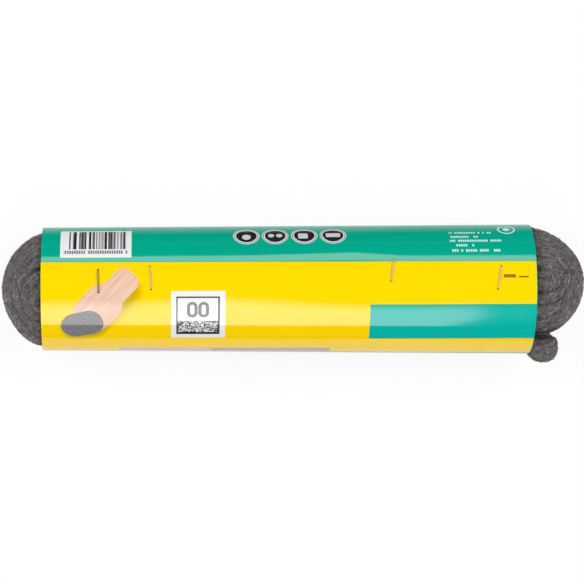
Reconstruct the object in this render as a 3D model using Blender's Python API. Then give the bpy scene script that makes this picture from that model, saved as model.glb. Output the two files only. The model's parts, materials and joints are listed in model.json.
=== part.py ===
"""A roll of steel wool held in a wrapped card sleeve.

One long ribbon of steel wool is wound into a flat coil with round ends. A printed card is
wrapped round the coil's middle, its two edges lapped and fixed with four wire staples.
The roll lies along X. Its label faces up, +Z, and the lap's free edge faces +Y.
The origin is the middle of the flat spot that the roll lies on.
"""

import math

import bmesh
import bpy
from mathutils import Matrix, Vector

# The card sleeve
SLEEVE_LENGTH = 0.265
SLEEVE_RADIUS_LEFT = 0.0334
SLEEVE_RADIUS_RIGHT = 0.0354
CARD_THICKNESS = 0.00035
FLAT_WIDTH = 0.016
LAP_EDGE_ANGLE = math.radians(24.6)
LAP_WIDTH = 0.029
LAP_MARGIN = 0.001
LAP_RAMP = 0.010
LAP_GAP = 0.0002
SLEEVE_STEP = math.radians(5.0)
STAPLE_BAY = 0.006

# The staples: which rim each is counted from, how far in it is from that rim, how far its
# middle is from the lap's edge, measured round the sleeve, and how far askew it is
STAPLES = {
    "staple_1": (-1, 0.0305, 0.0103, math.radians(1.5)),
    "staple_2": (-1, 0.0583, 0.0087, math.radians(3.8)),
    "staple_3": (1, 0.0776, 0.0050, math.radians(-7.9)),
    "staple_4": (1, 0.0202, 0.0092, math.radians(-8.3)),
}
CROWN_WIDTH = 0.012
CLINCH_GAP = 0.0038
WIRE_THICKNESS = 0.0005
WIRE_WIDTH = 0.0007
WIRE_ROUNDING = 0.00012
CLEARANCE = 0.0003
CROWN_STEPS = 8
CLINCH_STEPS = 3

# The wool ribbon and the coil that it is wound into
OVERHANG_LEFT = 0.0220
OVERHANG_RIGHT = 0.0299
RIGHT_END_SHIFT = 0.0049
RIGHT_END_SAG = 0.0018
LEFT_SLACK = 0.0010
RIGHT_SLACK = 0.0003
END_DROP = 0.0014
LEFT_EYE_OFFSET = Vector((-0.0120, -0.0076))
RIGHT_EYE_OFFSET = Vector((0.0079, 0.0062))
EYE_SLIT = 0.0006
RIBBON_THICKNESS = 0.0046
RIBBON_GAP = 0.0005
GROOVE_DEPTH = 0.0016
THIN_EDGE_CROWN = 0.4
ARCH_SHARE = 0.22
FIT_GAP = 0.0003
PRESS_MARGIN = 0.002
PRESS_FADE = 0.006
END_SQUARENESS = 2.6
SHOULDER = 0.012
NARROWING = 0.050
END_STEPS = 20
RUN_STEPS = 9
FOLD_STATION = 2
EASE_STEPS = 3
FACE_HEIGHTS = (-1.0, -0.55, 0.0, 0.55, 1.0)
CROWN_SHARES = (0.2, 0.5, 0.8)

# The ribbon's outer end, which is folded back and pokes out of the sleeve
FOLD_DEPTH = 0.026
FOLD_GAP = 0.0006
FOLD_STEPS = 6
LANE_HEIGHT = 0.0150
TAIL_REACH = 0.0149
TAIL_NOSE = 0.0064
TAIL_SPREAD = 0.0051
TAIL_HEIGHT = 0.0150
TAIL_ROUNDING = 0.0040
TAIL_STEPS = 7


def mix(a, b, share):
    """The value that lies the given share of the way from a to b."""
    return a + (b - a) * share


def smooth_step(start, end, value):
    """Rises smoothly from 0 at start to 1 at end."""
    share = min(1.0, max(0.0, (value - start) / (end - start)))
    return share * share * (3.0 - 2.0 * share)


def link(name, mesh, material=None):
    """Adds a mesh to the scene as a named object."""
    thing = bpy.data.objects.new(name, mesh)
    bpy.context.scene.collection.objects.link(thing)
    if material is not None:
        mesh.materials.append(material)
    return thing


def make_material(name, colour, roughness, metallic):
    """A Principled BSDF material of one colour."""
    material = bpy.data.materials.new(name)
    material.use_nodes = True
    shader = material.node_tree.nodes["Principled BSDF"]
    shader.inputs["Base Color"].default_value = (*colour, 1.0)
    shader.inputs["Roughness"].default_value = roughness
    shader.inputs["Metallic"].default_value = metallic
    return material


def sweep_loops(name, loops):
    """A closed body through rings of points that all have the same even count.

    Its ends are closed by rungs between the ring's two sides, counted from its first point.
    """
    shape = bmesh.new()
    rings = [[shape.verts.new(point) for point in loop] for loop in loops]
    count = len(rings[0])
    for ring, following in zip(rings, rings[1:]):
        for i in range(count):
            j = (i + 1) % count
            shape.faces.new((ring[i], ring[j], following[j], following[i]))
    for ring in (rings[0], rings[-1]):
        for i in range(count // 2):
            rung = (ring[i], ring[i + 1], ring[-i - 1], ring[-i])
            shape.faces.new(dict.fromkeys(rung))
    bmesh.ops.recalc_face_normals(shape, faces=shape.faces)
    mesh = bpy.data.meshes.new(name)
    shape.to_mesh(mesh)
    shape.free()
    return mesh


# The sleeve's section

def sleeve_radius(x):
    """Radius of the sleeve's outer face at x: the roll is fatter at its right end."""
    share = min(1.0, max(0.0, x / SLEEVE_LENGTH + 0.5))
    return mix(SLEEVE_RADIUS_LEFT, SLEEVE_RADIUS_RIGHT, share)


def axis_height(x):
    """Height of the sleeve's axis, which puts its flat spot on the ground all along."""
    return math.sqrt(sleeve_radius(x) ** 2 - (FLAT_WIDTH / 2) ** 2)


def lap_lift():
    """How far the card's outer edge stands above the sleeve's own radius."""
    return LAP_GAP + CARD_THICKNESS


def card_lift(turned, radius):
    """Lift of the card after it has turned by an angle from its outer edge."""
    lap_end = (LAP_WIDTH + LAP_MARGIN) / radius
    ramp_end = lap_end + LAP_RAMP / radius
    return lap_lift() * (1.0 - smooth_step(lap_end, ramp_end, turned))


def card_angles(x):
    """Angles turned by the card from its outer edge, over the flat spot, to its inner edge."""
    flat_half = math.asin(FLAT_WIDTH / 2 / sleeve_radius(x))
    flat_start = LAP_EDGE_ANGLE + math.pi - flat_half
    flat_end = flat_start + 2.0 * flat_half
    total = 2.0 * math.pi + LAP_WIDTH / sleeve_radius(x)
    steps = round(math.pi / SLEEVE_STEP)
    first = [flat_start * i / steps for i in range(steps + 1)]
    last = [mix(flat_end, total, i / steps) for i in range(steps + 1)]
    return first + last


def card_line(x):
    """Outer face of the card at x, from its outer edge round to its inner edge."""
    radius = sleeve_radius(x)
    line = []
    for turned in card_angles(x):
        angle = LAP_EDGE_ANGLE - turned
        reach = radius + card_lift(turned, radius)
        height = axis_height(x) + reach * math.cos(angle)
        line.append(Vector((x, reach * math.sin(angle), max(0.0, height))))
    return line


def staple_place(name):
    """A staple's place along the sleeve, its angle from the top towards +Y, and its skew."""
    side, inset, drop, skew = STAPLES[name]
    x = side * (SLEEVE_LENGTH / 2 - inset)
    return x, LAP_EDGE_ANGLE - drop / (sleeve_radius(x) + lap_lift()), skew


def staple_matrix(name):
    """Places a staple that was made round the sleeve's axis."""
    x, angle, skew = staple_place(name)
    place = Matrix.Translation((x, 0.0, axis_height(x)))
    return place @ Matrix.Rotation(-angle, 4, "X") @ Matrix.Rotation(skew, 4, "Z")


def crown_level(x):
    """Radius of the middle of a staple's crown, which lies on the lapped card."""
    return sleeve_radius(x) + lap_lift() + CLEARANCE + WIRE_THICKNESS / 2


def clinch_level(x):
    """Radius of the middle of a staple's bent legs, which lie under the card."""
    return sleeve_radius(x) - CARD_THICKNESS - CLEARANCE - WIRE_THICKNESS / 2


def leg_angle(x):
    """Angle from a staple's middle to the middle of one leg."""
    return (CROWN_WIDTH - WIRE_THICKNESS) / 2 / crown_level(x)


def make_punches():
    """One small hole through the card for each staple leg."""
    shape = bmesh.new()
    for name in STAPLES:
        x = staple_place(name)[0]
        middle = (crown_level(x) + clinch_level(x)) / 2
        size = (
            WIRE_WIDTH + 2 * CLEARANCE,
            WIRE_THICKNESS + 2 * CLEARANCE,
            crown_level(x) - clinch_level(x) + WIRE_THICKNESS,
        )
        for side in (-1, 1):
            lean = Matrix.Rotation(side * leg_angle(x), 4, "X")
            place = staple_matrix(name) @ lean @ Matrix.Translation((0, 0, middle))
            bmesh.ops.create_cube(shape, size=1.0, matrix=place @ Matrix.Diagonal((*size, 1)))
    mesh = bpy.data.meshes.new("staple_punches")
    shape.to_mesh(mesh)
    shape.free()
    punches = link("staple_punches", mesh)
    punches.hide_render = True
    punches.display_type = "WIRE"
    return punches


def sleeve_places():
    """Places along the sleeve that its sheet is built through: its ends, and by each staple."""
    places = [-SLEEVE_LENGTH / 2, SLEEVE_LENGTH / 2]
    for name in STAPLES:
        x = staple_place(name)[0]
        places += [x - STAPLE_BAY / 2, x + STAPLE_BAY / 2]
    return sorted(places)


def make_sleeve(material):
    """The card: one sheet, wrapped once round with its edges lapped, then thickened inwards."""
    shape = bmesh.new()
    rows = [[shape.verts.new(point) for point in card_line(x)] for x in sleeve_places()]
    for row, following in zip(rows, rows[1:]):
        for i in range(len(row) - 1):
            shape.faces.new((row[i], row[i + 1], following[i + 1], following[i]))
    mesh = bpy.data.meshes.new("card_sleeve")
    shape.to_mesh(mesh)
    shape.free()
    sleeve = link("card_sleeve", mesh, material)
    thicken = sleeve.modifiers.new("card_thickness", "SOLIDIFY")
    thicken.thickness = CARD_THICKNESS
    thicken.offset = -1.0
    thicken.use_even_offset = True
    punch = sleeve.modifiers.new("staple_holes", "BOOLEAN")
    punch.operation = "DIFFERENCE"
    punch.solver = "EXACT"
    punch.object = make_punches()
    mesh.shade_smooth()
    sleeve.modifiers.new("even_shading", "WEIGHTED_NORMAL")
    return sleeve


# The staples

def make_staple(name, material):
    """A flat wire bent into a crown and two legs, the legs folded in under the card."""
    x = staple_place(name)[0]
    half = WIRE_THICKNESS / 2
    high = crown_level(x)
    low = clinch_level(x)
    leg = leg_angle(x)
    tip = CLINCH_GAP / 2 / low

    def arc(start, end, level, steps):
        return [(mix(start, end, i / steps), level) for i in range(steps + 1)]

    def rail(side):
        """One edge of the wire, seen along it: side is 1 outside the bend and -1 inside."""
        turn = leg + side * half / high
        under = arc(-tip, -turn, low - side * half, CLINCH_STEPS)
        crown = arc(-turn, turn, high + side * half, CROWN_STEPS)
        back = arc(turn, tip, low - side * half, CLINCH_STEPS)
        return under + crown + back

    loops = []
    for outer, inner in zip(rail(1), rail(-1)):
        corners = []
        for edge, (angle, level) in ((-1, outer), (1, outer), (1, inner), (-1, inner)):
            across = edge * WIRE_WIDTH / 2
            corners.append(Vector((across, level * math.sin(angle), level * math.cos(angle))))
        loops.append(corners)
    staple = link(name, sweep_loops(name, loops), material)
    staple.matrix_world = staple_matrix(name)
    rounding = staple.modifiers.new("wire_rounding", "BEVEL")
    rounding.width = WIRE_ROUNDING
    rounding.segments = 1
    rounding.limit_method = "ANGLE"
    rounding.angle_limit = math.radians(40)
    return staple


# The wool's outer shape

def wool_radius(x):
    """Radius that the wool fills inside the sleeve."""
    return sleeve_radius(x) - CARD_THICKNESS - FIT_GAP


def left_end():
    """Middle and radius in plan of the coil's left end."""
    rim = -SLEEVE_LENGTH / 2
    radius = wool_radius(rim) - LEFT_SLACK
    return Vector((rim - OVERHANG_LEFT + radius, 0.0)), radius


def right_end():
    """Middle and radius in plan of the coil's right end, which is pushed towards +Y."""
    rim = SLEEVE_LENGTH / 2
    radius = wool_radius(rim) - RIGHT_SLACK - RIGHT_END_SHIFT
    return Vector((rim + OVERHANG_RIGHT - radius, RIGHT_END_SHIFT)), radius


def right_end_radius(angle):
    """The right end is a little larger on its lower side, where the outer turn arrives."""
    return right_end()[1] + RIGHT_END_SAG * max(0.0, -math.sin(angle))


def beyond_rim(x):
    """0 well inside the sleeve, 1 from its rim outwards."""
    rim = SLEEVE_LENGTH / 2
    return smooth_step(rim - SHOULDER, rim, abs(x))


def dome_height(point):
    """Half height of a round end at a place in plan."""
    if point.x > 0:
        centre, radius = right_end()
        away = point - centre
        away.x = max(0.0, away.x)
        radius = right_end_radius(math.atan2(away.y, away.x))
    else:
        centre, radius = left_end()
        away = point - centre
        away.x = min(0.0, away.x)
    share = min(1.0, away.length / radius)
    height = wool_radius(point.x) - END_DROP
    return height * (1.0 - share**END_SQUARENESS) ** (1.0 / END_SQUARENESS)


def half_height(point, press=0.0):
    """Height of the wool over its axis at a place in plan, less what the card presses in."""
    radius = wool_radius(point.x) - press
    inside = math.sqrt(max(0.0, radius**2 - point.y**2))
    return mix(inside, min(inside, dome_height(point)), beyond_rim(point.x))


def staple_press(point):
    """How far the bent staple legs under the lap press the top of the wool in."""
    places = [staple_place(name) for name in STAPLES]
    middles = [sleeve_radius(x) * math.sin(angle) for x, angle, _ in places]
    low = min(middles) - CROWN_WIDTH / 2 - PRESS_MARGIN
    high = max(middles) + CROWN_WIDTH / 2 + PRESS_MARGIN
    rise = smooth_step(low - PRESS_FADE, low, point.y)
    fall = smooth_step(high, high + PRESS_FADE, point.y)
    depth = WIRE_THICKNESS + 2.0 * CLEARANCE
    return depth * rise * (1.0 - fall) * (1.0 - beyond_rim(point.x))


def top_height(point):
    """Height above the ground of the wool's top at a place in plan."""
    return axis_height(point.x) + half_height(point, staple_press(point))


def bottom_height(point):
    """Height above the ground of the wool's underside at a place in plan."""
    return max(CARD_THICKNESS + FIT_GAP, axis_height(point.x) - half_height(point))


def arch(outline):
    """How far the outermost layer leans in at its edges, to hug the sleeve."""
    radius = wool_radius(outline.x)
    inside = radius * (abs(outline.y) / radius) ** 3
    end = left_end()[1] if outline.x < 0 else right_end()[1]
    return ARCH_SHARE * mix(inside, end, beyond_rim(outline.x))


# The coil in plan

def fold_x():
    """Where the ribbon's outer end turns back."""
    return SLEEVE_LENGTH / 2 - FOLD_DEPTH


def upper_reach(x):
    """The coil's outline on its +Y side: it fills the sleeve, and narrows to its round ends."""
    left, left_radius = left_end()
    right, right_radius = right_end()
    reach = mix(left_radius, wool_radius(x), smooth_step(left.x, left.x + NARROWING, x))
    return mix(reach, right.y + right_radius, smooth_step(right.x - NARROWING, right.x, x))


def lower_reach(x):
    """The coil's outline on its -Y side, which leaves room at the right for the folded end."""
    left, left_radius = left_end()
    right = right_end()[0]
    lowest = right.y - right_end_radius(-math.pi / 2)
    room_start = fold_x() - 2.0 * FOLD_DEPTH
    reach = mix(-left_radius, -wool_radius(x), smooth_step(left.x, left.x + NARROWING, x))
    return mix(reach, lowest, smooth_step(room_start, room_start + FOLD_DEPTH, x))


def turn_stations():
    """Once round the coil, clockwise seen from above, from the right end's top corner.

    Each station is a point on the coil's middle line and a point on its outer outline.
    """
    left, left_radius = left_end()
    right = right_end()[0]
    left_eye = left + LEFT_EYE_OFFSET
    right_eye = right + RIGHT_EYE_OFFSET
    stations = []

    def add_run_station(x, reach):
        share = (x - left.x) / (right.x - left.x)
        stations.append((left_eye.lerp(right_eye, share), Vector((x, reach(x)))))

    for i in range(END_STEPS):
        angle = math.pi / 2 - math.pi * i / END_STEPS
        way = Vector((math.cos(angle), math.sin(angle)))
        stations.append((right_eye, right + right_end_radius(angle) * way))
    for i in range(FOLD_STATION):
        add_run_station(mix(right.x, fold_x(), i / FOLD_STATION), lower_reach)
    for i in range(RUN_STEPS):
        add_run_station(mix(fold_x(), left.x, i / RUN_STEPS), lower_reach)
    for i in range(END_STEPS):
        angle = -math.pi / 2 - math.pi * i / END_STEPS
        way = Vector((math.cos(angle), math.sin(angle)))
        stations.append((left_eye, left + left_radius * way))
    for i in range(RUN_STEPS):
        add_run_station(mix(left.x, right.x, i / RUN_STEPS), upper_reach)
    return stations


def coil_faces():
    """The ribbon's inner and outer face at each station of the spiral, as rows of points."""
    turn = turn_stations()
    per_turn = len(turn)
    right, right_radius = right_end()
    room = right_radius - RIGHT_EYE_OFFSET.y
    turns = (room - EYE_SLIT) / (RIBBON_THICKNESS + RIBBON_GAP)
    last = END_STEPS + FOLD_STATION
    first = last - round(turns * per_turn)
    pitch = (1.0 - EYE_SLIT / room) / ((last - first) / per_turn)

    def face(index, share, side):
        """A face of the ribbon, the given share of the way from the middle line outwards."""
        spine, outline = turn[index % per_turn]
        since_end = (index - last) % per_turn
        missing = pitch * (1.0 - since_end / per_turn) * smooth_step(0, EASE_STEPS, since_end)
        reach = outline - spine
        share = share / (1.0 - missing)
        lean = min(ARCH_SHARE, arch(outline) / reach.length) * share**3
        share -= side * RIBBON_GAP / 2 / reach.length
        edge = spine + reach * (share - lean)
        top = top_height(edge) - GROOVE_DEPTH
        bottom = bottom_height(edge) + GROOVE_DEPTH
        middle = axis_height(edge.x)
        points = []
        for v in FACE_HEIGHTS:
            place = spine + reach * (share - lean * v * v)
            points.append(Vector((*place, mix(middle, top if v > 0 else bottom, abs(v)))))
        return points

    slit = EYE_SLIT / room
    faces = []
    for index in range(first + per_turn // 4, last + 1):
        turned = (index - first) / per_turn
        inner = face(index, slit + pitch * max(0.0, turned - 1.0), -1)
        outer = face(index, slit + pitch * turned, 1)
        faces.append((inner, outer))
    return faces


def section(centre, normal, half, leans, height):
    """Both faces of the ribbon at a place outside the coil's own turns.

    The normal points from the inner face to the outer one. Each face's edges are moved along
    it by their lean, and no edge is higher than the wool inside the sleeve.
    """
    rows = []
    for side, lean in zip((-1, 1), leans):
        edge = centre + normal * (side * half + lean)
        limit = height
        if centre.x < SLEEVE_LENGTH / 2:
            inside = math.sqrt(max(0.0, wool_radius(edge.x) ** 2 - edge.y**2))
            limit = min(height, inside - GROOVE_DEPTH)
        middle = axis_height(centre.x)
        row = []
        for v in FACE_HEIGHTS:
            place = centre + normal * (side * half + lean * v * v)
            row.append(Vector((*place, middle + v * limit)))
        rows.append(row)
    return rows


def tail_faces(inner, outer):
    """Folds the ribbon back on itself from its last two faces, and runs it out of the sleeve."""
    mid = len(FACE_HEIGHTS) // 2
    wall = -wool_radius(fold_x())
    coil_y = (inner[mid].y + outer[mid].y) / 2
    coil_half = (inner[mid].y - outer[mid].y) / 2
    coil_leans = [row[mid].y - row[-1].y for row in (inner, outer)]
    coil_height = inner[-1].z - inner[mid].z
    lane_y = (outer[mid].y - FOLD_GAP + wall) / 2
    lane_half = (outer[mid].y - FOLD_GAP - wall) / 2
    lane_lean = -wall - math.sqrt(wall**2 - LANE_HEIGHT**2)
    pivot = Vector((inner[mid].x, (coil_y + lane_y) / 2))

    faces = []
    for i in range(1, FOLD_STEPS + 1):
        share = i / FOLD_STEPS
        angle = math.pi / 2 + math.pi * share
        out = Vector((math.cos(angle), math.sin(angle)))
        centre = pivot + (coil_y - lane_y) / 2 * out
        half = mix(coil_half, lane_half, share)
        leans = (mix(coil_leans[0], lane_lean, share), mix(coil_leans[1], 0.0, share))
        faces.append(section(centre, -out, half, leans, mix(coil_height, LANE_HEIGHT, share)))

    normal = Vector((0.0, 1.0))
    right = right_end()[0]
    coil_radius = right_end_radius(-math.pi / 2)
    rim = SLEEVE_LENGTH / 2 + FIT_GAP
    end = SLEEVE_LENGTH / 2 + TAIL_REACH
    widest = end - TAIL_NOSE

    def lane_end(x):
        centre = Vector((x, lane_y))
        return section(centre, normal, lane_half, (lane_lean, 0.0), LANE_HEIGHT)

    def spread(x, share, closing):
        """A section beyond the rim: it follows the coil on one side and swells on the other."""
        near = right.y - math.sqrt(coil_radius**2 - (x - right.x) ** 2) - FOLD_GAP
        far = wall - TAIL_SPREAD * share
        centre = Vector((x, (near + far) / 2))
        lean = mix(lane_lean, TAIL_ROUNDING, share) * closing
        leans = (lean, -TAIL_ROUNDING / 2 * share * closing)
        height = mix(LANE_HEIGHT, TAIL_HEIGHT, share) * closing
        return section(centre, normal, (near - far) / 2 * closing, leans, height)

    faces.append(lane_end(mix(pivot.x, rim, 0.5)))
    faces.append(lane_end(SLEEVE_LENGTH / 2 - FIT_GAP))
    for i in range(TAIL_STEPS):
        angle = math.pi / 2 * i / TAIL_STEPS
        x = widest - (widest - rim) * math.cos(angle)
        faces.append(spread(x, math.sin(angle), 1.0))
    for i in range(TAIL_STEPS):
        share = math.sin(math.pi / 2 * i / (TAIL_STEPS - 0.5))
        closing = (1.0 - share**END_SQUARENESS) ** (1.0 / END_SQUARENESS)
        faces.append(spread(mix(widest, end, share), 1.0, closing))
    return faces


def ribbon_loop(inner, outer):
    """Closes the ribbon's section with a crowned edge over and under its two faces."""
    top = []
    bottom = []
    for share in CROWN_SHARES:
        rise = 1.0 - (2.0 * share - 1.0) ** 2
        crown = min(GROOVE_DEPTH, THIN_EDGE_CROWN * (inner[-1] - outer[-1]).length) * rise
        top.append(inner[-1].lerp(outer[-1], share) + Vector((0, 0, crown)))
        bottom.append(outer[0].lerp(inner[0], share) - Vector((0, 0, crown)))
    ring = inner + top + outer[::-1] + bottom
    lowest = len(CROWN_SHARES) // 2 + 1
    return ring[-lowest:] + ring[:-lowest]


def make_wool(material):
    """The wound ribbon, with its outer end folded back out of the sleeve."""
    faces = coil_faces()
    faces += tail_faces(*faces[-1])
    loops = [ribbon_loop(inner, outer) for inner, outer in faces]
    mesh = sweep_loops("steel_wool_roll", loops)
    wool = link("steel_wool_roll", mesh, material)
    mesh.shade_smooth()
    mesh.set_sharp_from_angle(angle=math.radians(50))
    return wool


def main():
    for thing in list(bpy.data.objects):
        bpy.data.objects.remove(thing)
    wool = make_material("steel_wool", (0.115, 0.105, 0.102), 0.6, 0.7)
    card = make_material("printed_card", (0.97, 0.72, 0.0), 0.3, 0.0)
    wire = make_material("staple_wire", (0.55, 0.55, 0.56), 0.35, 1.0)
    make_wool(wool)
    make_sleeve(card)
    for name in STAPLES:
        make_staple(name, wire)


main()
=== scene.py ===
"""The looks of a roll of steel wool in a printed card sleeve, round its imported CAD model."""

import json
import math
import random

import bpy
import numpy as np
from mathutils import Matrix, Vector
from mathutils.bvhtree import BVHTree
from mathutils.kdtree import KDTree

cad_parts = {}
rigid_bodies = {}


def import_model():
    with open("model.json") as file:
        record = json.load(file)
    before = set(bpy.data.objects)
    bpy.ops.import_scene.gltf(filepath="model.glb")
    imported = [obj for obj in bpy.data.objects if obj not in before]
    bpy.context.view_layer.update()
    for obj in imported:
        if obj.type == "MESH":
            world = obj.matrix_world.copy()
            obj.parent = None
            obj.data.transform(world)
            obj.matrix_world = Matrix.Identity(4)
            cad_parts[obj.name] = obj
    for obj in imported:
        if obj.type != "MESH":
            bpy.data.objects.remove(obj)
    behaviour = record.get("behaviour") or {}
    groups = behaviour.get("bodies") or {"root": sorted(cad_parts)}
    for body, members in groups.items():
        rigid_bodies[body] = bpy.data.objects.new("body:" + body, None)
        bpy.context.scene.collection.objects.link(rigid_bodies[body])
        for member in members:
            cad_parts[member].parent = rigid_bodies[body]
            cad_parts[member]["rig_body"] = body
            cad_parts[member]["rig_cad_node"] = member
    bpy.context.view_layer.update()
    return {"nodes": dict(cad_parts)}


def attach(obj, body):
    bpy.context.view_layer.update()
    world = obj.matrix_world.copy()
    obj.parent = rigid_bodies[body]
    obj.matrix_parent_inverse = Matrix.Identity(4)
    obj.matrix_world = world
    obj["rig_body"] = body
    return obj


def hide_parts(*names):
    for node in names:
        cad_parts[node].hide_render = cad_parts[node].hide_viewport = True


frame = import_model()


# The camera. It hangs high over the table, a little left of the roll's middle, and looks
# down at the top of the sleeve through a long lens.
CAMERA_PLACE = Vector((-0.0723, 0.0, 1.452))
CAMERA_AIM = Vector((0.0010, -0.0016, 0.0696))
LENS_MM = 160.3
SENSOR_MM = 36

forward = (CAMERA_AIM - CAMERA_PLACE).normalized()
right = forward.cross(Vector((0, 1, 0))).normalized()
turned = Matrix((right, right.cross(forward), -forward)).transposed()
camera = bpy.data.objects.new("camera", bpy.data.cameras.new("camera"))
camera.data.lens = LENS_MM
camera.data.sensor_width = SENSOR_MM
camera.matrix_world = Matrix.Translation(CAMERA_PLACE) @ turned.to_4x4()
bpy.context.scene.collection.objects.link(camera)
bpy.context.scene.camera = camera
bpy.context.scene.view_settings.view_transform = "Standard"


# The table, the lamps and the room. A white table, a wide soft lamp on the near side of the
# roll, a narrow one on its far side, one past each end, and a pale room, dark overhead.
TABLE_SIZE = 4
TABLE_PAINT = (0.92, 0.92, 0.92, 1)
TABLE_SHOWN_WHITE = 0.88
ROOM_LIGHT = 0.19

# What gloss mirrors: a white that starts on the near side of the table and ends past the
# roll, and the room's white low down
TABLE_GLOW = 0.8
TABLE_GLOW_STARTS = (-0.29, -0.18)
TABLE_GLOW_ENDS = (0.03, 0.12)
ROOM_GLOW_ENDS = (-0.10, 0.02)

ROLL_MIDDLE = Vector((0, 0, 0.034))
LAMPS = {
    "near_lamp": {"side": "Y", "tilt": 47.0, "reach": 1.5, "wide": 0.57, "high": 1.78,
                  "glow": 3.1, "shift": -0.016, "fade": 0.40},
    "far_lamp": {"side": "Y", "tilt": -56.4, "reach": 1.5, "wide": 0.75, "high": 0.29,
                 "glow": 2.8, "shift": 0.030, "fade": 0.05},
    "left_lamp": {"side": "X", "tilt": -45, "reach": 1.3, "wide": 0.8, "high": 0.8,
                  "glow": 5.4, "shift": 0.25, "fade": 0.05},
    "right_lamp": {"side": "X", "tilt": 45, "reach": 1.3, "wide": 0.8, "high": 0.8,
                   "glow": 5.4, "shift": 0.25, "fade": 0.05},
}


def add(tree, kind, inputs=None, **settings):
    """Adds a shader node. inputs gives values, or other nodes' outputs, by number or name."""
    made = tree.nodes.new("ShaderNode" + kind)
    for name, value in settings.items():
        setattr(made, name, value)
    for place, value in (inputs or {}).items():
        if isinstance(value, bpy.types.NodeSocket):
            tree.links.new(value, made.inputs[place])
        else:
            made.inputs[place].default_value = value
    return made


def times(tree, one, other):
    """Two values or masks, multiplied."""
    return add(tree, "Math", {0: one, 1: other}, operation="MULTIPLY").outputs[0]


def greater(tree, one, other):
    """The greater of two values."""
    return add(tree, "Math", {0: one, 1: other}, operation="MAXIMUM").outputs[0]


def fade_between(tree, value, start, end, before=0.0, after=1.0):
    """Goes smoothly from before to after, as the value goes from start to end."""
    return add(tree, "MapRange", {"Value": value, "From Min": start, "From Max": end,
                                  "To Min": before, "To Max": after},
               interpolation_type="SMOOTHSTEP").outputs[0]


def new_material(name):
    """An empty node material and its tree."""
    material = bpy.data.materials.new(name)
    material.use_nodes = True
    material.node_tree.nodes.clear()
    return material, material.node_tree


def hang_lamp(name, side, tilt, reach, wide, high, glow, shift, fade):
    """A soft box that leans out from over the roll, to one side of it, and faces it.

    tilt is in degrees, and fade is the share of its height over which it dims at its top.
    """
    lean = math.radians(tilt)
    swing = Matrix.Rotation(lean, 4, "X")
    if side == "X":
        swing = Matrix.Rotation(math.radians(90), 4, "Z") @ swing
    lamp = bpy.data.lights.new(name, "AREA")
    lamp.shape = "RECTANGLE"
    lamp.size = wide
    lamp.size_y = high
    lamp.energy = glow * math.pi * wide * high
    lamp.use_nodes = True
    tree = lamp.node_tree
    tree.nodes.clear()
    place = add(tree, "NewGeometry").outputs["Parametric"]
    across = add(tree, "SeparateXYZ", {0: place}).outputs["Y"]
    dim = fade_between(tree, across, 1.0, 1.0 - fade)
    light = add(tree, "Emission", {"Strength": dim})
    add(tree, "OutputLight", {0: light.outputs[0]})
    box = bpy.data.objects.new(name, lamp)
    hung = Matrix.Translation((shift, 0, reach))
    box.matrix_world = Matrix.Translation(ROLL_MIDDLE) @ swing @ hung
    box.visible_camera = False
    bpy.context.scene.collection.objects.link(box)


for name, settings in LAMPS.items():
    hang_lamp(name, **settings)

bpy.ops.object.select_all(action="DESELECT")
bpy.ops.mesh.primitive_plane_add(size=TABLE_SIZE)
table = bpy.context.object
table.name = "table"
white_top, tree = new_material("white_table_top")
rays = add(tree, "LightPath")
place = add(tree, "SeparateXYZ", {0: add(tree, "TexCoord").outputs["Object"]})
glow_starts = fade_between(tree, place.outputs["Y"], *TABLE_GLOW_STARTS)
glow_ends = fade_between(tree, place.outputs["Y"], *TABLE_GLOW_ENDS, TABLE_GLOW, 0.0)
shiny = greater(tree, rays.outputs["Is Glossy Ray"], rays.outputs["Is Transmission Ray"])
share = greater(tree, times(tree, rays.outputs["Is Camera Ray"], TABLE_SHOWN_WHITE), shiny)
bright = greater(tree, rays.outputs["Is Camera Ray"], times(tree, glow_starts, glow_ends))
paint = add(tree, "BsdfDiffuse", {"Color": TABLE_PAINT})
glow = add(tree, "Emission", {"Color": (1, 1, 1, 1), "Strength": bright})
both = add(tree, "MixShader", {0: share, 1: paint.outputs[0], 2: glow.outputs[0]})
add(tree, "OutputMaterial", {0: both.outputs[0]})
table.data.materials.append(white_top)

world = bpy.data.worlds.new("room")
world.use_nodes = True
bpy.context.scene.world = world
tree = world.node_tree
tree.nodes.clear()
height = add(tree, "SeparateXYZ", {0: add(tree, "TexCoord").outputs["Generated"]})
low_down = fade_between(tree, height.outputs["Z"], *ROOM_GLOW_ENDS, 1.0, 0.0)
rays = add(tree, "LightPath")
shiny = greater(tree, rays.outputs["Is Glossy Ray"], rays.outputs["Is Transmission Ray"])
shown = greater(tree, times(tree, shiny, low_down), rays.outputs["Is Camera Ray"])
soft = times(tree, rays.outputs["Is Diffuse Ray"], ROOM_LIGHT)
air = add(tree, "Background", {"Color": (1, 1, 1, 1), "Strength": greater(tree, shown, soft)})
add(tree, "OutputWorld", {0: air.outputs[0]})


# The steel wool. One long ribbon of fine steel shavings, rolled flat into a coil with round
# ends; its outer end is folded back and pokes out at the right. Loose fibres stand off it.
WOOL_DARK = (0.030, 0.027, 0.026, 1)
WOOL_PALE = (0.360, 0.331, 0.324, 1)
# The next colour is painted shade, laid into the creases of the wool and of the fibres over them
CREASE_PAINTED_SHADE = (0.018, 0.016, 0.015, 1)
FIBRE_DARK = (0.168, 0.154, 0.151, 1)
FIBRE_PALE = (0.800, 0.734, 0.728, 1)
LEFT_END = {"side": -1, "eye": (-0.1337, -0.0076), "outer": (-0.1206, 0.0), "radius": 0.0337}
RIGHT_END = {"side": 1, "eye": (0.1355, 0.0110), "outer": (0.1270, -0.001), "radius": 0.0352}
LAYER_WAVER_MM = 3.0
EVENED_VOXEL = 0.0032
COIL_VOXEL = 0.0009
SLEEVE_RIM = 0.1325
HIDDEN_PAST_RIM = 0.004
TUFT_WIDTH = 0.0035
TUFT_HEIGHT = 0.0005
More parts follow.
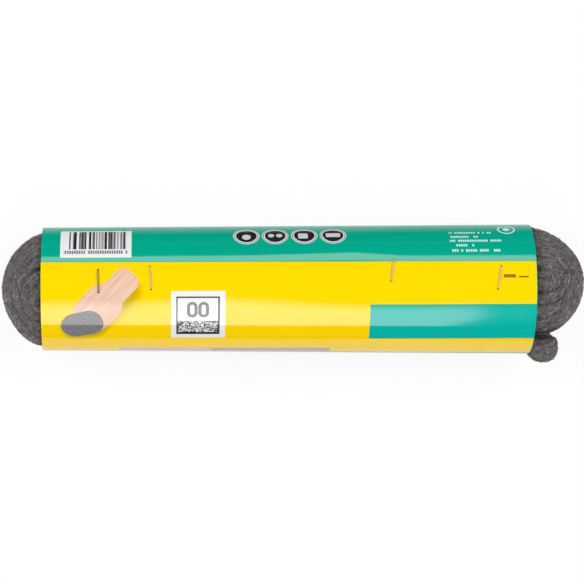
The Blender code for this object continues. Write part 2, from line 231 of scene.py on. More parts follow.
CREASE_DEPTH = 0.0007
CREASE_CUT = 0.0005
HOLLOW_DEPTH = 0.0030
HOLLOW_PALENESS = 0.8
TAIL_LESS_SHADE = 0.6

# Where two shoulders and the tail's crease begin, and over what width, along and across the
# roll, and how far the shoulders shift
SLACK_SHOULDER = ((0.128, 0.014), (0.004, 0.020))
SLACK_SHIFT = (0.0008, 0.0016)
FULL_SHOULDER = ((0.128, 0.010), (0.014, 0.014))
FULL_SHIFT = (0.0004, 0.0012)
TAIL_CREASE = ((0.120, 0.010), (0.026, 0.004))


def lay(tree, below, colour, mask):
    """Lays a colour over what is below it, where the mask is 1."""
    return add(tree, "Mix", {"Factor": mask, 6: below, 7: colour}, data_type="RGBA").outputs[2]


def wound_layers():
    """The node group for the roll's layers seen edge on: dark lines that follow the turns.

    Layer is the distance in mm from the roll's eye, and Darkest the tone of the darkest line.
    """
    group = bpy.data.node_groups.new("wound_layers", "ShaderNodeTree")
    group.interface.new_socket("Place", in_out="INPUT", socket_type="NodeSocketVector")
    for name in ("Layer", "Darkest"):
        group.interface.new_socket(name, in_out="INPUT", socket_type="NodeSocketFloat")
    group.interface.new_socket("Tone", in_out="OUTPUT", socket_type="NodeSocketFloat")
    given = group.nodes.new("NodeGroupInput").outputs
    waver = add(group, "TexNoise", {"Vector": given["Place"], "Scale": 150.0, "Detail": 2.0})
    wavy = add(group, "Math", {0: waver.outputs["Fac"], 1: LAYER_WAVER_MM, 2: given["Layer"]},
               operation="MULTIPLY_ADD")
    lines = add(group, "TexNoise", {"W": wavy.outputs[0], "Scale": 1.0, "Detail": 2.0},
                noise_dimensions="1D")
    tone = add(group, "MapRange", {"Value": lines.outputs["Fac"], "From Min": 0.35,
                                   "From Max": 0.58, "To Min": given["Darkest"]})
    end = group.nodes.new("NodeGroupOutput")
    group.links.new(tone.outputs[0], end.inputs["Tone"])
    return group


WOUND_LAYERS = wound_layers()

matted, tree = new_material("matted_steel_wool")
spot = add(tree, "TexCoord").outputs["Object"]
layer = add(tree, "Attribute", attribute_name="layer").outputs["Fac"]
lines = add(tree, "Group", {"Place": spot, "Layer": layer, "Darkest": 0.45},
            node_tree=WOUND_LAYERS)
patches = add(tree, "TexNoise", {"Vector": spot, "Scale": 160.0, "Detail": 3.0})
curls = add(tree, "TexNoise", {"Vector": spot, "Scale": 1500.0, "Detail": 5.0,
                               "Roughness": 0.65, "Distortion": 1.5})
tangle = times(tree, patches.outputs["Fac"], curls.outputs["Fac"])
tangle = add(tree, "MapRange", {"Value": tangle, "From Min": 0.14, "From Max": 0.36})
tone = times(tree, tangle.outputs[0], lines.outputs[0])
# Painted shade darkens the creases
painted_crease_shade = add(tree, "Attribute", attribute_name="painted_crease_shade").outputs["Fac"]
colour = lay(tree, lay(tree, WOOL_DARK, WOOL_PALE, tone), CREASE_PAINTED_SHADE, painted_crease_shade)
bump = add(tree, "Bump", {"Height": curls.outputs["Fac"], "Distance": 0.0006,
                          "Strength": 0.8})
shader = add(tree, "BsdfPrincipled", {"Base Color": colour, "Metallic": 0.4,
                                      "Roughness": 0.55, "Normal": bump.outputs[0]})
add(tree, "OutputMaterial", {0: shader.outputs[0]})

loose, tree = new_material("loose_steel_fibres")
spot = add(tree, "TexCoord").outputs["Object"]
shade = add(tree, "Attribute", attribute_name="shade").outputs["Fac"]
layer = add(tree, "Attribute", attribute_name="layer").outputs["Fac"]
lines = add(tree, "Group", {"Place": spot, "Layer": layer, "Darkest": 0.42},
            node_tree=WOUND_LAYERS)
patches = add(tree, "TexNoise", {"Vector": spot, "Scale": 220.0, "Detail": 3.0})
patches = add(tree, "MapRange", {"Value": patches.outputs["Fac"], "From Min": 0.3,
                                 "From Max": 0.7, "To Min": 0.85, "To Max": 1.0})
tone = times(tree, times(tree, shade, patches.outputs[0]), lines.outputs[0])
# Painted shade darkens the fibres that lie over creases
painted_crease_shade = add(tree, "Attribute", attribute_name="painted_crease_shade").outputs["Fac"]
colour = lay(tree, lay(tree, FIBRE_DARK, FIBRE_PALE, tone), CREASE_PAINTED_SHADE, painted_crease_shade)
rough = add(tree, "MapRange", {"Value": tone, "To Min": 0.55, "To Max": 0.32})
shader = add(tree, "BsdfPrincipled", {"Base Color": colour, "Metallic": 0.35,
                                      "Roughness": rough.outputs[0]})
add(tree, "OutputMaterial", {0: shader.outputs[0]})

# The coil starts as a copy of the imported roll, with its loose triangles merged
bpy.ops.object.select_all(action="DESELECT")
coil = frame["nodes"]["steel_wool_roll"].copy()
coil.data = coil.data.copy()
coil.name = "steel_wool_coil"
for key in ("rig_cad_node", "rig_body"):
    del coil[key]
coil.parent = None
bpy.context.scene.collection.objects.link(coil)
bpy.context.view_layer.objects.active = coil
coil.select_set(True)
bpy.ops.object.mode_set(mode="EDIT")
bpy.ops.mesh.select_all(action="SELECT")
bpy.ops.mesh.remove_doubles(threshold=0.000001)
bpy.ops.mesh.normals_make_consistent(inside=False)
bpy.ops.object.mode_set(mode="OBJECT")


def shape_with(thing, kind, **settings):
    """Adds a modifier with its settings and applies it."""
    bpy.context.view_layer.objects.active = thing
    change = thing.modifiers.new(kind.lower(), kind)
    for name, value in settings.items():
        setattr(change, name, value)
    bpy.ops.object.modifier_apply(modifier=change.name)


def ramp(value, start, width):
    """Goes evenly from 0 at start to 1 a width further on."""
    return np.clip((value - start) / width, 0, 1)


def vertex_places(mesh):
    """A mesh's vertex places, as rows of x, y and z."""
    values = np.zeros(len(mesh.vertices) * 3)
    mesh.vertices.foreach_get("co", values)
    return values.reshape(-1, 3)


# The same coil with its creases evened out, to find them by and for the fibres over them
evened = coil.copy()
evened.data = coil.data.copy()
bpy.context.scene.collection.objects.link(evened)
shape_with(evened, "REMESH", mode="VOXEL", voxel_size=EVENED_VOXEL)
shape_with(evened, "SMOOTH", factor=0.5, iterations=5)
shape_with(coil, "REMESH", mode="VOXEL", voxel_size=COIL_VOXEL, use_smooth_shade=True)
shape_with(coil, "SMOOTH", factor=0.5, iterations=1)


def settle(mesh):
    """Settles the outline: a slack far shoulder at the right end, a full near one at the left."""
    spots = vertex_places(mesh)
    x, y = spots[:, 0], spots[:, 1]
    slack = ramp(x, *SLACK_SHOULDER[0]) * ramp(y, *SLACK_SHOULDER[1])
    full = ramp(-x, *FULL_SHOULDER[0]) * ramp(-y, *FULL_SHOULDER[1])
    spots[:, 1] -= SLACK_SHIFT[1] * slack + FULL_SHIFT[1] * full
    spots[:, 0] -= SLACK_SHIFT[0] * slack + FULL_SHIFT[0] * full
    mesh.vertices.foreach_set("co", spots.ravel())
    mesh.update()


settle(coil.data)
settle(evened.data)
evened_surface = BVHTree.FromObject(evened, bpy.context.evaluated_depsgraph_get())
bpy.data.objects.remove(evened)


def bend_of_turn(spots, end):
    """Which turn lies at places near one end, 0 at the eye and 1 outside, and its bend's middle.

    The turns are nearly round there, and their middles drift outwards from the eye.
    """
    eye = np.array(end["eye"])
    drift = np.array(end["outer"]) - eye
    away = spots[..., :2] - eye
    along = away @ drift
    spare = end["radius"] ** 2 - drift @ drift
    turn = (np.sqrt(along ** 2 + spare * (away ** 2).sum(axis=-1)) - along) / spare
    return turn, eye + turn[..., None] * drift


def layer_at(spots, end):
    """How far in mm the turn at places near one end lies from the eye."""
    return bend_of_turn(spots, end)[0] * end["radius"] * 1000


def keep_on_points(mesh, name, values):
    """Keeps a value for each vertex under a name, for the materials to read."""
    mesh.attributes.new(name, "FLOAT", "POINT").data.foreach_set("value", values)


# The middle is out of sight in the sleeve, so it needs few faces
hidden = coil.vertex_groups.new(name="in_sleeve")
inner = np.flatnonzero(np.abs(vertex_places(coil.data)[:, 0]) < SLEEVE_RIM - HIDDEN_PAST_RIM)
hidden.add(inner.tolist(), 1.0, "REPLACE")
shape_with(coil, "DECIMATE", ratio=0.55, vertex_group="in_sleeve", vertex_group_factor=10)
tufts = bpy.data.textures.new("tufts", "CLOUDS")
tufts.noise_scale = TUFT_WIDTH
shape_with(coil, "DISPLACE", texture=tufts, texture_coords="LOCAL", strength=TUFT_HEIGHT,
           mid_level=0.5)

# Creases are cut in and get painted shade: wide hollows less so, and the one at the tail gets less
# painted shade
depths = []
for spot in vertex_places(coil.data):
    over, normal, _, _ = evened_surface.find_nearest(Vector(spot))
    depths.append((over - Vector(spot)).dot(normal))
depths = np.array(depths)
hollows = ramp(depths, 0, HOLLOW_DEPTH)
creases = ramp(depths, 0, CREASE_DEPTH) * (1 - HOLLOW_PALENESS * hollows)
outwards = np.zeros(len(creases) * 3)
coil.data.vertex_normals.foreach_get("vector", outwards)
cut = CREASE_CUT * creases[:, None] * outwards.reshape(-1, 3)
coil.data.vertices.foreach_set("co", (vertex_places(coil.data) - cut).ravel())
coil.data.update()
spots = vertex_places(coil.data)
# The creases' painted shade, eased at the tail
at_tail = ramp(spots[:, 0], *TAIL_CREASE[0]) * ramp(-spots[:, 1], *TAIL_CREASE[1])
crease_shade_values = creases * (1 - TAIL_LESS_SHADE * at_tail)
layers = np.where(spots[:, 0] < 0, layer_at(spots, LEFT_END), layer_at(spots, RIGHT_END))
keep_on_points(coil.data, "painted_crease_shade", crease_shade_values)
keep_on_points(coil.data, "layer", layers)
surface = BVHTree.FromObject(coil, bpy.context.evaluated_depsgraph_get())
surface_points = KDTree(len(spots))
for number, spot in enumerate(spots):
    surface_points.insert(Vector(spot), number)
surface_points.balance()

coil.data.materials.clear()
coil.data.materials.append(matted)
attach(coil, "root")
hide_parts("steel_wool_roll")


# The loose fibres are short curling threads, and some of them bridge the creases. Each end
# has two coats of them, and each coat a few more over the eye.
FIBRE_COATS = {
    "fibres_left_1": LEFT_END,
    "fibres_left_2": LEFT_END,
    "fibres_right_1": RIGHT_END,
    "fibres_right_2": RIGHT_END,
}
FIBRES_IN_COAT = 6800
FIBRE_POINTS = 5
FIBRE_RADIUS = 0.00011
FIBRE_TAPER = 0.45
FIBRE_LENGTHS = (0.0018, 0.0062)
FIBRE_SWING = math.radians(28)
FIBRE_CURL = math.radians(12)
FIBRE_KINK = math.radians(10)
FIBRE_LIFTS = (0.00002, 0.00025)
FIBRE_ARCHES = (0.0001, 0.0002, 0.0003, 0.0005, 0.0007)
FIBRE_FEW_BRIGHT = 2.5
# How much of the creases' painted shade the fibres take
FIBRE_CREASE_SHADE = 0.8
BARE_IN_CREASES = 0.85
OPEN_FROM = 0.0003
OPEN_FOR = 0.003
BRIDGING_SHARE = 0.12
WIDEST_BRIDGE = 0.0013
UNDER_RIM = 0.0004
FIBRES_OVER_EYE = 130
EYE_REACH = 0.011
EYE_SPREAD = (0.4, 0.3)
ABOVE_ROLL = 0.1


def open_faces(side):
    """The coil's faces that lie open past one rim of the sleeve, and each one's share of fibres.

    Those in creases get fewer.
    """
    found = []
    shares = []
    for face in coil.data.polygons:
        if face.center.x * side < SLEEVE_RIM:
            continue
        hit = surface.ray_cast(face.center + face.normal * OPEN_FROM, face.normal, OPEN_FOR)
        if hit[0] is None:
            found.append(face)
            shares.append(face.area * (1 - BARE_IN_CREASES * creases[face.vertices[0]]))
    return found, shares


def trace_fibre(start, normal, end, chance, bridges):
    """One fibre's points: it curls over the wool, mostly the way that the ribbon runs."""
    guide = evened_surface if bridges else surface
    step = chance.uniform(*FIBRE_LENGTHS) / (FIBRE_POINTS - 1)
    swing = chance.gauss(0, FIBRE_SWING)
    curl = chance.gauss(0, FIBRE_CURL)
    lift = FIBRE_LIFTS[0] + chance.uniform(0, FIBRE_LIFTS[1])
    arch = chance.choice(FIBRE_ARCHES)
    back = chance.choice((-1, 1))
    spot = start
    points = []
    for i in range(FIBRE_POINTS):
        share = i / (FIBRE_POINTS - 1)
        points.append(spot + normal * (lift + arch * math.sin(math.pi * share) ** 2))
        middle = bend_of_turn(np.array(spot), end)[1]
        run = Vector((middle[1] - spot.y, spot.x - middle[0], 0)) * back
        run = (run - normal * run.dot(normal)).normalized()
        swing += curl + chance.gauss(0, FIBRE_KINK)
        run = Matrix.Rotation(swing, 3, normal) @ run
        spot, normal, _, _ = guide.find_nearest(spot + run * step)
    return points


def fibre_mesh(name, paths, end, chance):
    """Thin three-sided threads along the paths, thinner at their ends, as one mesh.

    Its shade attribute gives each thread its own tone, most of them dark and a few bright;
    another attribute holds the painted shade of the creases under it, and layer the distance from
    the roll's eye.
    """
    way = np.array([[tuple(point) for point in path] for path in paths])
    ahead = np.gradient(way, axis=1)
    ahead /= np.linalg.norm(ahead, axis=2, keepdims=True)
    aslant = np.array((0.31, 0.27, 0.91))
    side = np.cross(ahead, aslant)
    side /= np.linalg.norm(side, axis=2, keepdims=True)
    over = np.cross(side, ahead)
    thin = FIBRE_RADIUS * np.sin(np.linspace(FIBRE_TAPER, math.pi - FIBRE_TAPER, FIBRE_POINTS))
    rings = []
    for corner in range(3):
        angle = math.tau * corner / 3
        spoke = math.cos(angle) * side + math.sin(angle) * over
        rings.append(way + spoke * thin[None, :, None])
    points = np.stack(rings, axis=2).reshape(-1, 3)
    faces = []
    for fibre in range(len(paths)):
        first = fibre * FIBRE_POINTS * 3
        for i in range(FIBRE_POINTS - 1):
            near = first + i * 3
            for corner in range(3):
                after = (corner + 1) % 3
                faces.append((near + corner, near + after, near + 3 + after, near + 3 + corner))
        last = first + (FIBRE_POINTS - 1) * 3
        faces.append((first + 2, first + 1, first))
        faces.append((last, last + 1, last + 2))
    mesh = bpy.data.meshes.new(name)
    mesh.from_pydata(points.tolist(), [], faces)
    tones = [chance.random() ** FIBRE_FEW_BRIGHT for _ in paths]
    keep_on_points(mesh, "shade", np.repeat(tones, FIBRE_POINTS * 3))
    # Painted shade from the crease under each point of the thread
    fibre_crease_shades = [FIBRE_CREASE_SHADE * crease_shade_values[surface_points.find(point)[1]]
             for path in paths for point in path]
    keep_on_points(mesh, "painted_crease_shade", np.repeat(fibre_crease_shades, 3))
    keep_on_points(mesh, "layer", np.repeat(layer_at(way, end).ravel(), 3))
    mesh.materials.append(loose)
    mesh.shade_smooth()
    return mesh


def hangs_free(path, eye):
    """Whether a fibre crosses a gap that is too wide for it. Over the eye, none is."""
    if min((point - eye).length for point in path) < EYE_REACH:
        return False
    return max(surface.find_nearest(point)[3] for point in path) > WIDEST_BRIDGE


for name, end in FIBRE_COATS.items():
    chance = random.Random(name)
    side = end["side"]
    eye = Vector((*end["eye"], 0))
    showing, shares = open_faces(side)
    starts = []
    for face in chance.choices(showing, weights=shares, k=FIBRES_IN_COAT):
        bridges = chance.random() < BRIDGING_SHARE
        starts.append((face.center.copy(), face.normal.copy(), bridges))
    for _ in range(FIBRES_OVER_EYE):
        out = EYE_SPREAD[0] * side + chance.gauss(0, EYE_SPREAD[0])
        over = eye + Vector((out, chance.gauss(0, EYE_SPREAD[1]), 0)) * EYE_REACH
        over.z = ABOVE_ROLL
        spot, normal, _, _ = evened_surface.ray_cast(over, Vector((0, 0, -1)))
        if spot is not None:
            eye_height = spot.z
            starts.append((spot, normal, True))
    eye.z = eye_height
    paths = []
    for spot, normal, bridges in starts:
        path = trace_fibre(spot, normal, end, chance, bridges)
        if min(point.x * side for point in path) < SLEEVE_RIM - UNDER_RIM:
            continue
        if not hangs_free(path, eye):
            paths.append(path)
    coat = bpy.data.objects.new(name, fibre_mesh(name, paths, end, chance))
    bpy.context.scene.collection.objects.link(coat)
    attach(coat, "root")
    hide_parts("steel_wool_roll")


# The card sleeve. One sheet of thin glossy card, printed on one side, wrapped once round the
# wool with its edges lapped on top. It bulges a little between its staples.
SLEEVE_LENGTH = 0.265
SLEEVE_RADIUS_LEFT = 0.0334
SLEEVE_RADIUS_RIGHT = 0.0354
CARD_THICKNESS = 0.00035
FLAT_WIDTH = 0.016
LAP_EDGE_ANGLE = math.radians(24.6)
LAP_WIDTH = 0.029
LAP_RAMP = 0.010
LAP_LIFT = 0.00055
LAP_MARGIN = 0.001
PRINT_SPAN = 0.280
FRONT_PRINT = 0.090
MEAN_TURN = 0.212

# Where the card swells, along the roll, and how far it stands off there
LEFT_SWELL = ((-0.09, -0.033, 0.006), (0, 0.00055, 0))
RIGHT_SWELL = ((0.0, 0.04, 0.07, 0.12), (0, 0.0006, 0.0006, 0.0002))
FAR_SWELL = ((-0.09, -0.02, 0.035, 0.062), (0, 0.0001, 0.0004, 0))


def rise(start, end, value):
    """Goes smoothly from 0 at start to 1 at end."""
    way = ramp(value, start, end - start)
    return way * way * (3 - 2 * way)


def sleeve_radius(x):
    """Radius of the card's outer face: the roll is fatter at its right end."""
    along = np.clip(x / SLEEVE_LENGTH + 0.5, 0, 1)
    return SLEEVE_RADIUS_LEFT + (SLEEVE_RADIUS_RIGHT - SLEEVE_RADIUS_LEFT) * along


def card_bulge(x, angle):
    """How far the card stands off its round shape.

    The angle, in degrees from the top, falls from the lap's edge all the way round the roll.
    """
    top = rise(20, 0, angle) * (1 - rise(0, -20, angle))
    near = rise(2, -22, angle) * (1 - rise(-26, -75, angle))
    far = rise(25, 42, angle + 360) * (1 - rise(46, 75, angle + 360))
    swells = np.interp(x, *LEFT_SWELL) * top + np.interp(x, *RIGHT_SWELL) * near
    return swells + np.interp(x, *FAR_SWELL) * far


bpy.ops.object.select_all(action="DESELECT")
bpy.ops.mesh.primitive_grid_add(x_subdivisions=120, y_subdivisions=180, size=1)
card = bpy.context.object
card.name = "card_sleeve_wrap"
flat = vertex_places(card.data)
x = flat[:, 0] * SLEEVE_LENGTH
radius = sleeve_radius(x)
total = 2 * math.pi + LAP_WIDTH / radius
turn = (flat[:, 1] + 0.5) * total
angle = LAP_EDGE_ANGLE - turn
lap_end = (LAP_WIDTH + LAP_MARGIN) / radius
lift = LAP_LIFT * (1 - rise(lap_end, lap_end + LAP_RAMP / radius, turn))
reach = radius + lift + card_bulge(x, np.degrees(angle))
axis = np.sqrt(radius ** 2 - (FLAT_WIDTH / 2) ** 2)
wrapped = np.stack((x, reach * np.sin(angle), np.maximum(0, axis + reach * np.cos(angle))), axis=1)
card.data.vertices.foreach_set("co", wrapped.ravel())

# The print's own map: along the roll, and round the sheet from its outer edge. Past the
# front print it is drawn to one length at both ends, so the print by the lap lies level.
round_sheet = turn * radius
whole_turn = 2 * math.pi * radius
stretch = (MEAN_TURN - FRONT_PRINT) / (whole_turn - FRONT_PRINT)
past_front = np.maximum(0, round_sheet - FRONT_PRINT)
round_sheet = np.minimum(round_sheet, FRONT_PRINT) + past_front * stretch
corners = np.zeros(len(card.data.loops), dtype=np.int32)
card.data.loops.foreach_get("vertex_index", corners)
places = np.stack((x / PRINT_SPAN + 0.5, round_sheet / PRINT_SPAN), axis=1)[corners]
card.data.uv_layers.active.name = "print_map"
card.data.uv_layers["print_map"].data.foreach_set("uv", places.ravel())
card.data.update()

bpy.ops.object.mode_set(mode="EDIT")
bpy.ops.mesh.select_all(action="SELECT")
bpy.ops.mesh.flip_normals()
bpy.ops.object.mode_set(mode="OBJECT")
bpy.ops.object.shade_smooth()
shape_with(card, "SOLIDIFY", thickness=CARD_THICKNESS, offset=-1, use_even_offset=True,
           material_offset=1, material_offset_rim=2)
bpy.ops.object.shade_smooth_by_angle(angle=math.radians(30))


def printed_block():
    """The node group for one printed shape: a mask for a turned block with round corners.

    Its inputs are in mm on the sheet. A disc is a block whose corner is its half width.
    """
    group = bpy.data.node_groups.new("printed_block", "ShaderNodeTree")
    group.interface.new_socket("Place", in_out="INPUT", socket_type="NodeSocketVector")
    group.interface.new_socket("Middle", in_out="INPUT", socket_type="NodeSocketVector")
    group.interface.new_socket("Half Size", in_out="INPUT", socket_type="NodeSocketVector")
    for name in ("Turn", "Corner", "Soft Edge"):
        group.interface.new_socket(name, in_out="INPUT", socket_type="NodeSocketFloat")
    group.interface.new_socket("Mask", in_out="OUTPUT", socket_type="NodeSocketFloat")
    given = group.nodes.new("NodeGroupInput").outputs
    from_middle = add(group, "VectorMath", {0: given["Place"], 1: given["Middle"]},
                      operation="SUBTRACT")
    turned = add(group, "VectorRotate", {"Vector": from_middle.outputs[0],
                                         "Angle": given["Turn"]}, rotation_type="Z_AXIS")
    across = add(group, "VectorMath", {0: turned.outputs[0]}, operation="ABSOLUTE")
    past = add(group, "VectorMath", {0: across.outputs[0], 1: given["Half Size"]},
               operation="SUBTRACT")
    corner = add(group, "CombineXYZ", {0: given["Corner"], 1: given["Corner"]})
    past = add(group, "VectorMath", {0: past.outputs[0], 1: corner.outputs[0]},
               operation="ADD")
    past = add(group, "VectorMath", {0: past.outputs[0], 1: (0, 0, 0)}, operation="MAXIMUM")
    far = add(group, "VectorMath", {0: past.outputs[0]}, operation="LENGTH")
    inside = add(group, "Math", {0: given["Corner"], 1: far.outputs["Value"]},
                 operation="SUBTRACT")
    share = add(group, "Math", {0: inside.outputs[0], 1: given["Soft Edge"]},
                operation="DIVIDE")
    share = add(group, "Math", {0: share.outputs[0], 1: 0.5}, operation="ADD",
                use_clamp=True)
    end = group.nodes.new("NodeGroupOutput")
    group.links.new(share.outputs[0], end.inputs["Mask"])
    return group


PRINTED_BLOCK = printed_block()


def block(tree, place, middle, half, corner=0.2, turn=0.0, soft=0.15):
    """One printed shape's mask, from the node group."""
    made = tree.nodes.new("ShaderNodeGroup")
    made.node_tree = PRINTED_BLOCK
    tree.links.new(place, made.inputs["Place"])
    made.inputs["Middle"].default_value = (*middle, 0)
    made.inputs["Half Size"].default_value = (*half, 1)
    made.inputs["Turn"].default_value = math.radians(turn)
    made.inputs["Corner"].default_value = corner
    made.inputs["Soft Edge"].default_value = soft
    return made.outputs["Mask"]


YELLOW = (1.000, 0.665, 0.0005, 1)
YELLOW_SHADE = (0.620, 0.400, 0.001, 1)
BRONZE = (0.250, 0.170, 0.010, 1)
GREEN = (0.0005, 0.385, 0.255, 1)
TEAL = (0.001, 0.455, 0.385, 1)
WHITE = (0.83, 0.83, 0.86, 1)
BLACK = (0.020, 0.019, 0.020, 1)
GREY = (0.185, 0.185, 0.19, 1)
DARK_GREY = (0.055, 0.050, 0.050, 1)
PALE_GREY = (0.60, 0.63, 0.63, 1)
PALE_GREEN = (0.62, 0.80, 0.76, 1)
PINK = (0.66, 0.50, 0.50, 1)
BROWN = (0.46, 0.38, 0.34, 1)
PEACH = (0.84, 0.58, 0.45, 1)
PEACH_SHADE = (0.72, 0.43, 0.30, 1)
PAD_GREY = (0.13, 0.13, 0.14, 1)
PAD_PALE = (0.27, 0.27, 0.28, 1)
HOLE_SHADE = (0.060, 0.050, 0.025, 1)
BACK_DARK = (0.36, 0.34, 0.31, 1)
BACK_PALE = (0.50, 0.48, 0.44, 1)
EDGE_DARK_INK_AND_SHADE = (0.05, 0.13, 0.08, 1)
EDGE_PALE_INK_AND_SHADE = (0.14, 0.24, 0.15, 1)

card_print, tree = new_material("printed_glossy_card")
uv = add(tree, "UVMap", uv_map="print_map")
span = PRINT_SPAN * 1000
sheet = add(tree, "VectorMath", {0: uv.outputs[0], 1: (span, span, 0), 2: (-span / 2, 0, 0)},
            operation="MULTIPLY_ADD").outputs[0]
axes = add(tree, "SeparateXYZ", {0: sheet})
along = axes.outputs["X"]
around = axes.outputs["Y"]

# The grounds: yellow on top, with a teal band, and green on the rest. Here and below, a
# block is given by its middle and its half size, in mm on the sheet.
yellow_field = block(tree, sheet, (0, 31.0), (140, 31.5))
ground = lay(tree, GREEN, YELLOW, yellow_field)
GROUNDS = (
    (PINK, (-66, 70.5), (25, 15)),
    (BROWN, (-9.0, 70.5), (32, 15)),
    (TEAL, (93, 34), (50, 11)),
    (GREEN, (134.15, 31.0), (2.0, 31.5)),
)
for ink, middle, half in GROUNDS:
    ground = lay(tree, ground, ink, block(tree, sheet, middle, half))

# A white panel with bars and dashes made by a rule
BAR_PITCH = 0.65
DASH_PITCH = 1.25
DASH_SHARE = 0.72
DASH_ROW_PITCH = 3.4
DASHES_LEFT_OUT = 0.16
ground = lay(tree, ground, WHITE, block(tree, sheet, (-103.4, 197.6), (19.0, 11.2)))
column = add(tree, "Math", {0: along, 1: BAR_PITCH}, operation="SNAP")
chance = add(tree, "TexWhiteNoise", {"W": column.outputs[0]}, noise_dimensions="1D")
bar = add(tree, "MapRange", {"Value": chance.outputs["Value"], "From Min": 0.30,
                             "From Max": 0.75})
bars = times(tree, bar.outputs[0], block(tree, sheet, (-102.2, 195.4), (15.5, 8.0)))
ground = lay(tree, ground, BLACK, bars)
cell = add(tree, "Math", {0: along, 1: DASH_PITCH}, operation="DIVIDE")
part = add(tree, "Math", {0: cell.outputs[0]}, operation="FRACT")
dash = add(tree, "Math", {0: part.outputs[0], 1: DASH_SHARE}, operation="LESS_THAN")
dash_number = add(tree, "Math", {0: cell.outputs[0]}, operation="FLOOR")
line = add(tree, "Math", {0: around, 1: DASH_ROW_PITCH}, operation="SNAP")
spot = add(tree, "CombineXYZ", {0: dash_number.outputs[0], 1: line.outputs[0]})
chance = add(tree, "TexWhiteNoise", {"Vector": spot.outputs[0]}, noise_dimensions="2D")
kept = add(tree, "Math", {0: chance.outputs["Value"], 1: DASHES_LEFT_OUT},
           operation="GREATER_THAN")
dashes = times(tree, dash.outputs[0], kept.outputs[0])
row = times(tree, dashes, block(tree, sheet, (-103.5, 205.4), (17.0, 1.1)))
ground = lay(tree, ground, GREY, row)

# Rows of small plain dashes, a plain ring, and two plain bars
DASH_ROW_HEIGHT = 0.75
DASH_ROWS = (
    (98.2, 191.8, 11.5),
    (94.4, 195.6, 7.7),
    (100.6, 198.7, 13.9),
    (93.2, 202.0, 6.4),
    (100.9, 205.4, 13.6),
)
for along_place, round_place, half in DASH_ROWS:
    row = block(tree, sheet, (along_place, round_place), (half, DASH_ROW_HEIGHT))
    ground = lay(tree, ground, PALE_GREEN, times(tree, dashes, row))
RING_PLACE = (118.4, 188.2)
RING_DISCS = ((4.9, PALE_GREEN), (4.0, GREEN), (1.9, PALE_GREEN))
for size, ink in RING_DISCS:
    ground = lay(tree, ground, ink, block(tree, sheet, RING_PLACE, (size, size), size))
ground = lay(tree, ground, BRONZE, block(tree, sheet, (117.7, 8.2), (3.3, 0.9)))
ground = lay(tree, ground, BRONZE, block(tree, sheet, (125.2, 8.6), (2.6, 0.5)))

# Four round badges, each with a plain mark
BADGES_ALONG = (-22.7, -7.2, 8.5, 24.0)
BADGES_ROUND = 193.4
BADGE_DISCS = ((7.2, PALE_GREY), (6.5, DARK_GREY), (6.2, WHITE), (5.6, BLACK))
for along_place in BADGES_ALONG:
    for size, ink in BADGE_DISCS:
        disc = block(tree, sheet, (along_place, BADGES_ROUND), (size, size), size)
        ground = lay(tree, ground, ink, disc)
MARKS = (
    ((-22.7, 194.6), (2.4, 2.4), 2.4),
    ((-9.4, 193.4), (1.7, 1.7), 1.7),
    ((-5.0, 193.4), (1.7, 1.7), 1.7),
    ((7.8, 193.9), (2.6, 2.4), 0.6),
    ((24.0, 193.4), (3.9, 1.9), 0.5),
)
for middle, half, corner in MARKS:
    ground = lay(tree, ground, PALE_GREY, block(tree, sheet, middle, half, corner))

# A round pad on a peach-coloured wooden block, with a soft shade beside them
WOOD_TURN = 46.2
PAD_TURN = 12
shadow = block(tree, sheet, (-95.8, 24.5), (20, 7.5), 7, WOOD_TURN, soft=5.0)
ground = lay(tree, ground, YELLOW_SHADE, times(tree, shadow, yellow_field))
shadow = block(tree, sheet, (-109.6, 36.0), (12.0, 8.2), 8.1, PAD_TURN, soft=4.0)
ground = lay(tree, ground, YELLOW_SHADE, times(tree, shadow, yellow_field))
veins = add(tree, "VectorRotate", {"Vector": sheet, "Angle": math.radians(WOOD_TURN)},
            rotation_type="Z_AXIS")
veins = add(tree, "VectorMath", {0: veins.outputs[0], 1: (0.05, 0.8, 1)}, operation="MULTIPLY")
veins = add(tree, "TexNoise", {"Vector": veins.outputs[0], "Scale": 1.0, "Detail": 3.0})
wood = add(tree, "MapRange", {"Value": veins.outputs["Fac"], "From Min": 0.35,
                              "From Max": 0.70})
wood = lay(tree, PEACH, PEACH_SHADE, wood.outputs[0])
for middle, half, corner in (((-96.5, 19.5), (18.5, 7.0), 5), ((-102.5, 25.5), (13, 10.5), 8)):
    plank = block(tree, sheet, middle, half, corner, WOOD_TURN, soft=0.5)
    ground = lay(tree, ground, wood, plank)
speck = add(tree, "TexNoise", {"Vector": sheet, "Scale": 1.3, "Detail": 2.0})
speck = add(tree, "MapRange", {"Value": speck.outputs["Fac"], "From Min": 0.35,
                               "From Max": 0.65})
pad = lay(tree, PAD_GREY, PAD_PALE, speck.outputs[0])
pad_round = block(tree, sheet, (-110.6, 34.6), (11.4, 7.8), 7.7, PAD_TURN, soft=0.5)
ground = lay(tree, ground, pad, pad_round)

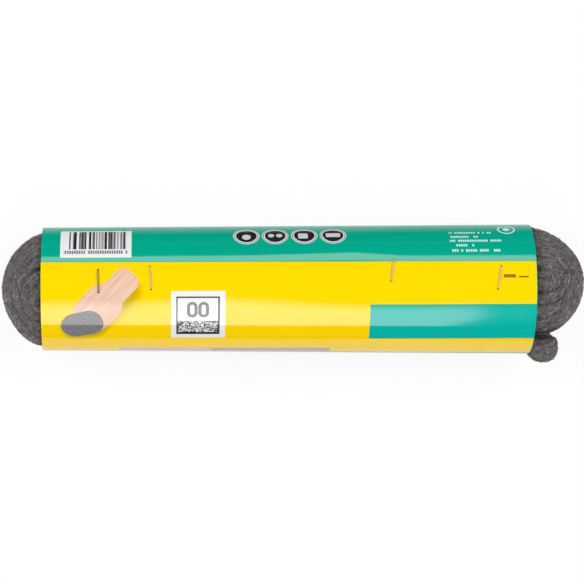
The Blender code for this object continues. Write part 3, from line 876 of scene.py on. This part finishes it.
# A white panel with a framed 00 over a patch of wool grain
PANEL = (
    (WHITE, (-48.8, 30.0), (14.4, 14.3)),
    (DARK_GREY, (-48.9, 30.0), (11.6, 11.5)),
    (WHITE, (-49.0, 29.9), (10.8, 10.6)),
)
for ink, middle, half in PANEL:
    ground = lay(tree, ground, ink, block(tree, sheet, middle, half))
ZEROS_ALONG = (-52.0, -45.9)
ZEROS_ROUND = 25.7
GRAIN_LINES = 4.0
for along_place in ZEROS_ALONG:
    ring = block(tree, sheet, (along_place, ZEROS_ROUND), (2.85, 4.3), 2.7)
    hole = block(tree, sheet, (along_place, ZEROS_ROUND), (1.15, 2.8), 1.1)
    ground = lay(tree, ground, GREY, ring)
    ground = lay(tree, ground, WHITE, hole)
contour = add(tree, "TexNoise", {"Vector": sheet, "Scale": 0.32, "Detail": 0.0,
                                 "Distortion": 1.2})
steps = add(tree, "Math", {0: times(tree, contour.outputs["Fac"], GRAIN_LINES)},
            operation="FRACT")
grain = add(tree, "Math", {0: steps.outputs[0], 1: 0.5}, operation="GREATER_THAN")
ground = lay(tree, ground, BLACK, block(tree, sheet, (-49.0, 36.6), (10.8, 4.3)))
patch = block(tree, sheet, (-49.0, 36.1), (10.4, 3.7))
ground = lay(tree, ground, WHITE, times(tree, grain.outputs[0], patch))

# Dark spots where the staples' legs go in: painted shade standing in for their holes
HOLES = ((-102.1, 4.1), (-101.8, 16.3), (-74.6, 2.5), (-73.8, 14.7),
         (55.9, 210.5), (54.0, 10.7), (113.3, 2.8), (111.3, 15.0))
for middle in HOLES:
    spot = block(tree, sheet, middle, (0.5, 0.5), 0.5, soft=0.3)
    ground = lay(tree, ground, HOLE_SHADE, spot)

shader = add(tree, "BsdfPrincipled", {"Base Color": ground, "Roughness": 0.45,
                                      "Specular IOR Level": 0.0, "Coat Weight": 1.0,
                                      "Coat Roughness": 0.08, "Coat IOR": 1.6})
add(tree, "OutputMaterial", {0: shader.outputs[0]})

card_back, tree = new_material("plain_card_back")
spot = add(tree, "TexCoord").outputs["Object"]
felt = add(tree, "TexNoise", {"Vector": spot, "Scale": 700.0, "Detail": 4.0})
shade = lay(tree, BACK_DARK, BACK_PALE, felt.outputs["Fac"])
shader = add(tree, "BsdfPrincipled", {"Base Color": shade, "Roughness": 0.85})
add(tree, "OutputMaterial", {0: shader.outputs[0]})

# The cut edge is dark green: partly ink bled into it, partly painted shade
card_edge, tree = new_material("cut_card_edge_ink_and_shade")
spot = add(tree, "TexCoord").outputs["Object"]
felt = add(tree, "TexNoise", {"Vector": spot, "Scale": 1500.0, "Detail": 2.0})
shade = lay(tree, EDGE_DARK_INK_AND_SHADE, EDGE_PALE_INK_AND_SHADE, felt.outputs["Fac"])
shader = add(tree, "BsdfPrincipled", {"Base Color": shade, "Roughness": 0.8})
add(tree, "OutputMaterial", {0: shader.outputs[0]})

card.data.materials.clear()
for material in (card_print, card_back, card_edge):
    card.data.materials.append(material)
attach(card, "root")
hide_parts("card_sleeve")


# The staples. Four flat-wire staples, pushed through the lap and folded under it. They are
# the CAD's own: three scuffed and tinted yellow, a painted reflection of the card round them, and
# one darker all over.
WIRE_TONES = {
    # The yellow tint of these three is a painted reflection of the card
    "bright_staple_wire": ((0.74, 0.61, 0.20, 1), (0.93, 0.80, 0.38, 1), (2, 3, 4)),
    "dull_staple_wire": ((0.20, 0.18, 0.13, 1), (0.42, 0.38, 0.28, 1), (1,)),
}
for name, (dark_tone, pale_tone, numbers) in WIRE_TONES.items():
    wire, tree = new_material(name)
    spot = add(tree, "TexCoord").outputs["Object"]
    scuffs = add(tree, "TexNoise", {"Vector": spot, "Scale": 2500.0, "Detail": 3.0})
    rough = add(tree, "MapRange", {"Value": scuffs.outputs["Fac"], "To Min": 0.35,
                                   "To Max": 0.6})
    tone = lay(tree, dark_tone, pale_tone, scuffs.outputs["Fac"])
    shader = add(tree, "BsdfPrincipled", {"Base Color": tone, "Metallic": 0.6,
                                          "Roughness": rough.outputs[0]})
    add(tree, "OutputMaterial", {0: shader.outputs[0]})
    for number in numbers:
        for place in frame["nodes"][f"staple_{number}"].material_slots:
            place.material = wire
